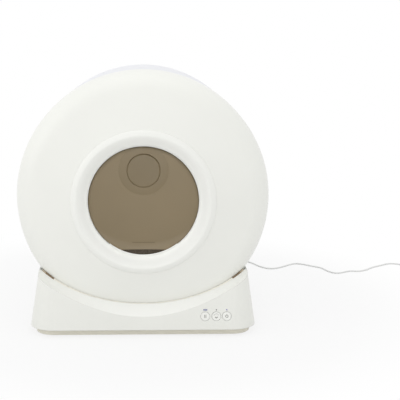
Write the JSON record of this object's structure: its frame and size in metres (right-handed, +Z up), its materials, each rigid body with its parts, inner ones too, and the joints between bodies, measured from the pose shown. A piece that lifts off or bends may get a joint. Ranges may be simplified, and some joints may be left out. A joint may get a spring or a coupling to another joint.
{
  "type": "self-cleaning litter box",
  "caption": "Rotating white drum with a round entry ring, cradled on rollers in a low base with round buttons; sifting screen, port flap, rear waste drawer and low-voltage lead.",
  "frame": {"origin": "on the floor, under the middle of the object", "axes": "+Z up, the entry faces -Y, +X to the right of the object as seen from the front"},
  "size_m": [1.0514, 0.666, 0.548],
  "materials": {
    "white_shell": "satin",
    "entry_trim": "satin",
    "lining": "matte",
    "lining_cap": "matte",
    "mat_rubber": "matte",
    "screen": "satin",
    "flap": "matte",
    "gear": "satin",
    "bin": "matte",
    "puck": "rough",
    "steel": "brushed",
    "magnet": "polished",
    "plinth": "matte",
    "feet": "matte",
    "load_cell": "machined",
    "bracket": "satin",
    "roller": "satin",
    "gearbox": "satin",
    "motor": "zinc plated",
    "board": "solder mask",
    "sensor": "satin",
    "button": "satin",
    "light_blue": "gloss",
    "light_dark": "gloss",
    "light_violet": "gloss",
    "socket": "satin",
    "lead": "satin",
    "tie": "woven",
    "adapter": "satin",
    "pins": "polished"
  },
  "bodies": {
    "base": {"base_shell": "white_shell", "base_plate": "plinth", "rubber_feet": "feet", "load_cells": "load_cell", "base_screws": "steel", "gearbox": "gearbox", "motor": "motor", "main_board": "board", "control_board": "board", "hall_sensor": "sensor", "indicator_left": "light_blue", "indicator_middle": "light_dark", "indicator_right": "light_violet", "dc_socket": "socket", "dc_plug": "lead", "power_cord": "lead", "cord_coil": "lead", "cord_tie": "tie", "wall_adapter": "adapter", "adapter_pins": "pins", "roller_bracket_front_left": "bracket", "roller_axle_front_left": "steel", "roller_bracket_front_right": "bracket", "roller_axle_front_right": "steel", "roller_bracket_rear_left": "bracket", "roller_axle_rear_left": "steel", "roller_bracket_rear_right": "bracket", "roller_axle_rear_right": "steel"},
    "drum": {"front_shell": "white_shell", "entry_ring": "entry_trim", "threshold_lip": "entry_trim", "ring_gear": "gear", "rear_shell": "white_shell", "rear_cover": "white_shell", "drawer_sleeve": "bin", "drum_liner": "lining", "liner_back": "lining", "front_liner": "lining", "litter_mat": "mat_rubber", "sifting_screen": "screen", "flap_pin": "steel", "deodoriser_puck": "puck", "drum_screws": "steel", "position_magnet": "magnet"},
    "flap": {"port_flap": "flap"},
    "cap": {"deodoriser_cap": "lining_cap"},
    "drawer": {"waste_bin": "bin", "waste_bin_face": "white_shell"},
    "pinion": {"drive_pinion": "gear", "output_shaft": "steel"},
    "roller_body_front_left": {"roller_front_left": "roller"},
    "roller_body_front_right": {"roller_front_right": "roller"},
    "roller_body_rear_left": {"roller_rear_left": "roller"},
    "roller_body_rear_right": {"roller_rear_right": "roller"},
    "button_body_left": {"button_left": "button"},
    "button_body_middle": {"button_middle": "button"},
    "button_body_right": {"button_right": "button"}
  },
  "joints": [
    {"name": "drum_spin", "type": "hinge", "parent": "base", "child": "drum", "pos_m": [0, 0, 0.283], "axis": [0, 1, 0], "continuous": true},
    {"name": "roller_spin_front_left", "type": "hinge", "parent": "base", "child": "roller_body_front_left", "pos_m": [-0.14271, -0.11, 0.05462], "axis": [0, 1, 0], "continuous": true},
    {"name": "roller_spin_front_right", "type": "hinge", "parent": "base", "child": "roller_body_front_right", "pos_m": [0.14271, -0.11, 0.05462], "axis": [0, 1, 0], "continuous": true},
    {"name": "roller_spin_rear_left", "type": "hinge", "parent": "base", "child": "roller_body_rear_left", "pos_m": [-0.14271, 0.12, 0.05462], "axis": [0, 1, 0], "continuous": true},
    {"name": "roller_spin_rear_right", "type": "hinge", "parent": "base", "child": "roller_body_rear_right", "pos_m": [0.14271, 0.12, 0.05462], "axis": [0, 1, 0], "continuous": true},
    {"name": "pinion_spin", "type": "hinge", "parent": "base", "child": "pinion", "pos_m": [0.16834, -0.13375, 0.0513], "axis": [0, 1, 0], "continuous": true},
    {"name": "button_press_left", "type": "slide", "parent": "base", "child": "button_body_left", "axis": [0, 0.9882, -0.153], "range_m": [0, 0.001], "stiffness_N_per_m": 1500, "springref_m": -0.0003},
    {"name": "button_press_middle", "type": "slide", "parent": "base", "child": "button_body_middle", "axis": [0, 0.9882, -0.153], "range_m": [0, 0.001], "stiffness_N_per_m": 1500, "springref_m": -0.0003},
    {"name": "button_press_right", "type": "slide", "parent": "base", "child": "button_body_right", "axis": [0, 0.9882, -0.153], "range_m": [0, 0.001], "stiffness_N_per_m": 1500, "springref_m": -0.0003},
    {"name": "flap_swing", "type": "hinge", "parent": "drum", "child": "flap", "pos_m": [0, 0.1615, 0.447], "axis": [1, 0, 0], "range_deg": [0, 45]},
    {"name": "cap_twist", "type": "hinge", "parent": "drum", "child": "cap", "pos_m": [0, 0.155, 0.283], "axis": [0, 1, 0], "range_deg": [0, 40]},
    {"name": "drawer_slide", "type": "slide", "parent": "drum", "child": "drawer", "axis": [0, 1, 0], "range_m": [0, 0.1]}
  ],
  "couplings": [
    {"joint": "roller_spin_front_left", "follows": "drum_spin", "ratio": -19.692},
    {"joint": "roller_spin_front_right", "follows": "drum_spin", "ratio": -19.692},
    {"joint": "roller_spin_rear_left", "follows": "drum_spin", "ratio": -19.692},
    {"joint": "roller_spin_rear_right", "follows": "drum_spin", "ratio": -19.692},
    {"joint": "pinion_spin", "follows": "drum_spin", "ratio": -6.9444}
  ]
}
